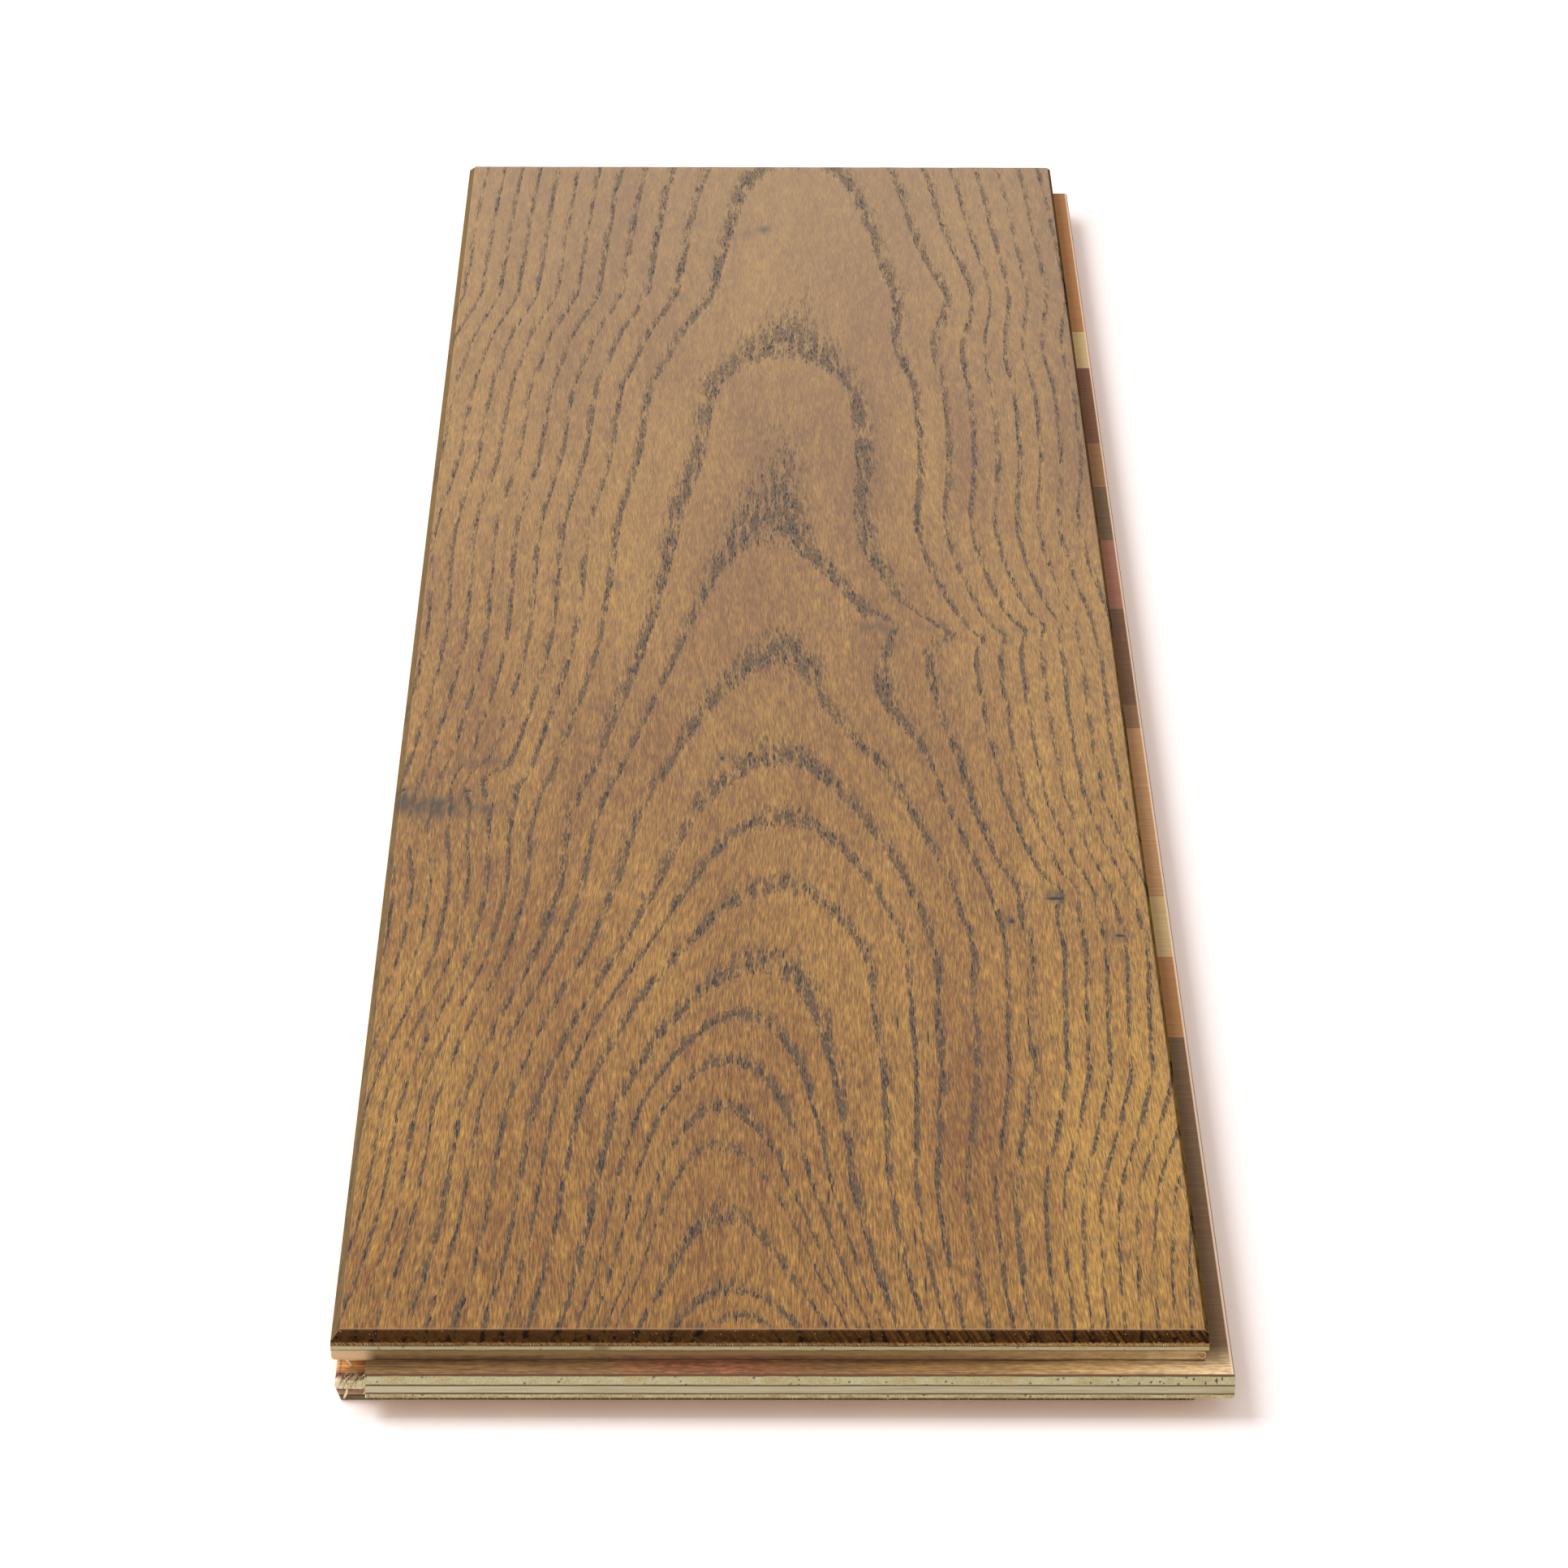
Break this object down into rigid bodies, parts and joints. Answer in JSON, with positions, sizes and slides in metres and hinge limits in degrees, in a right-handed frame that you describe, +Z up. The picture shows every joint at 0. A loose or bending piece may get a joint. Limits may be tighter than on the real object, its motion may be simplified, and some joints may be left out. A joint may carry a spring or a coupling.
{
  "type": "engineered floorboard",
  "caption": "Short engineered floorboard: bevelled oak wear layer glued to a cross-laminated plywood core, tongued on one side and one end, grooved on the others.",
  "frame": {"origin": "centre of the bounding box, on the underside of the backing", "axes": "+Z up out of the oak face, +Y along the board away from its tongued end, +X towards its tongued long side"},
  "size_m": [0.1542, 0.6042, 0.014],
  "materials": {
    "oak_wear_layer": "brushed and oiled",
    "core_ply_1": "sawn",
    "core_ply_2": "peeled and milled",
    "core_ply_3": "milled end grain",
    "core_ply_4": "milled",
    "core_ply_5": "milled end grain",
    "core_ply_6": "milled",
    "backing_ply": "sanded"
  },
  "bodies": {
    "root": {"oak_wear_layer": "oak_wear_layer", "core_ply_1": "core_ply_1", "core_ply_2": "core_ply_2", "core_ply_3": "core_ply_3", "core_ply_4": "core_ply_4", "core_ply_5": "core_ply_5", "core_ply_6": "core_ply_6", "backing_ply": "backing_ply"}
  },
  "joints": []
}
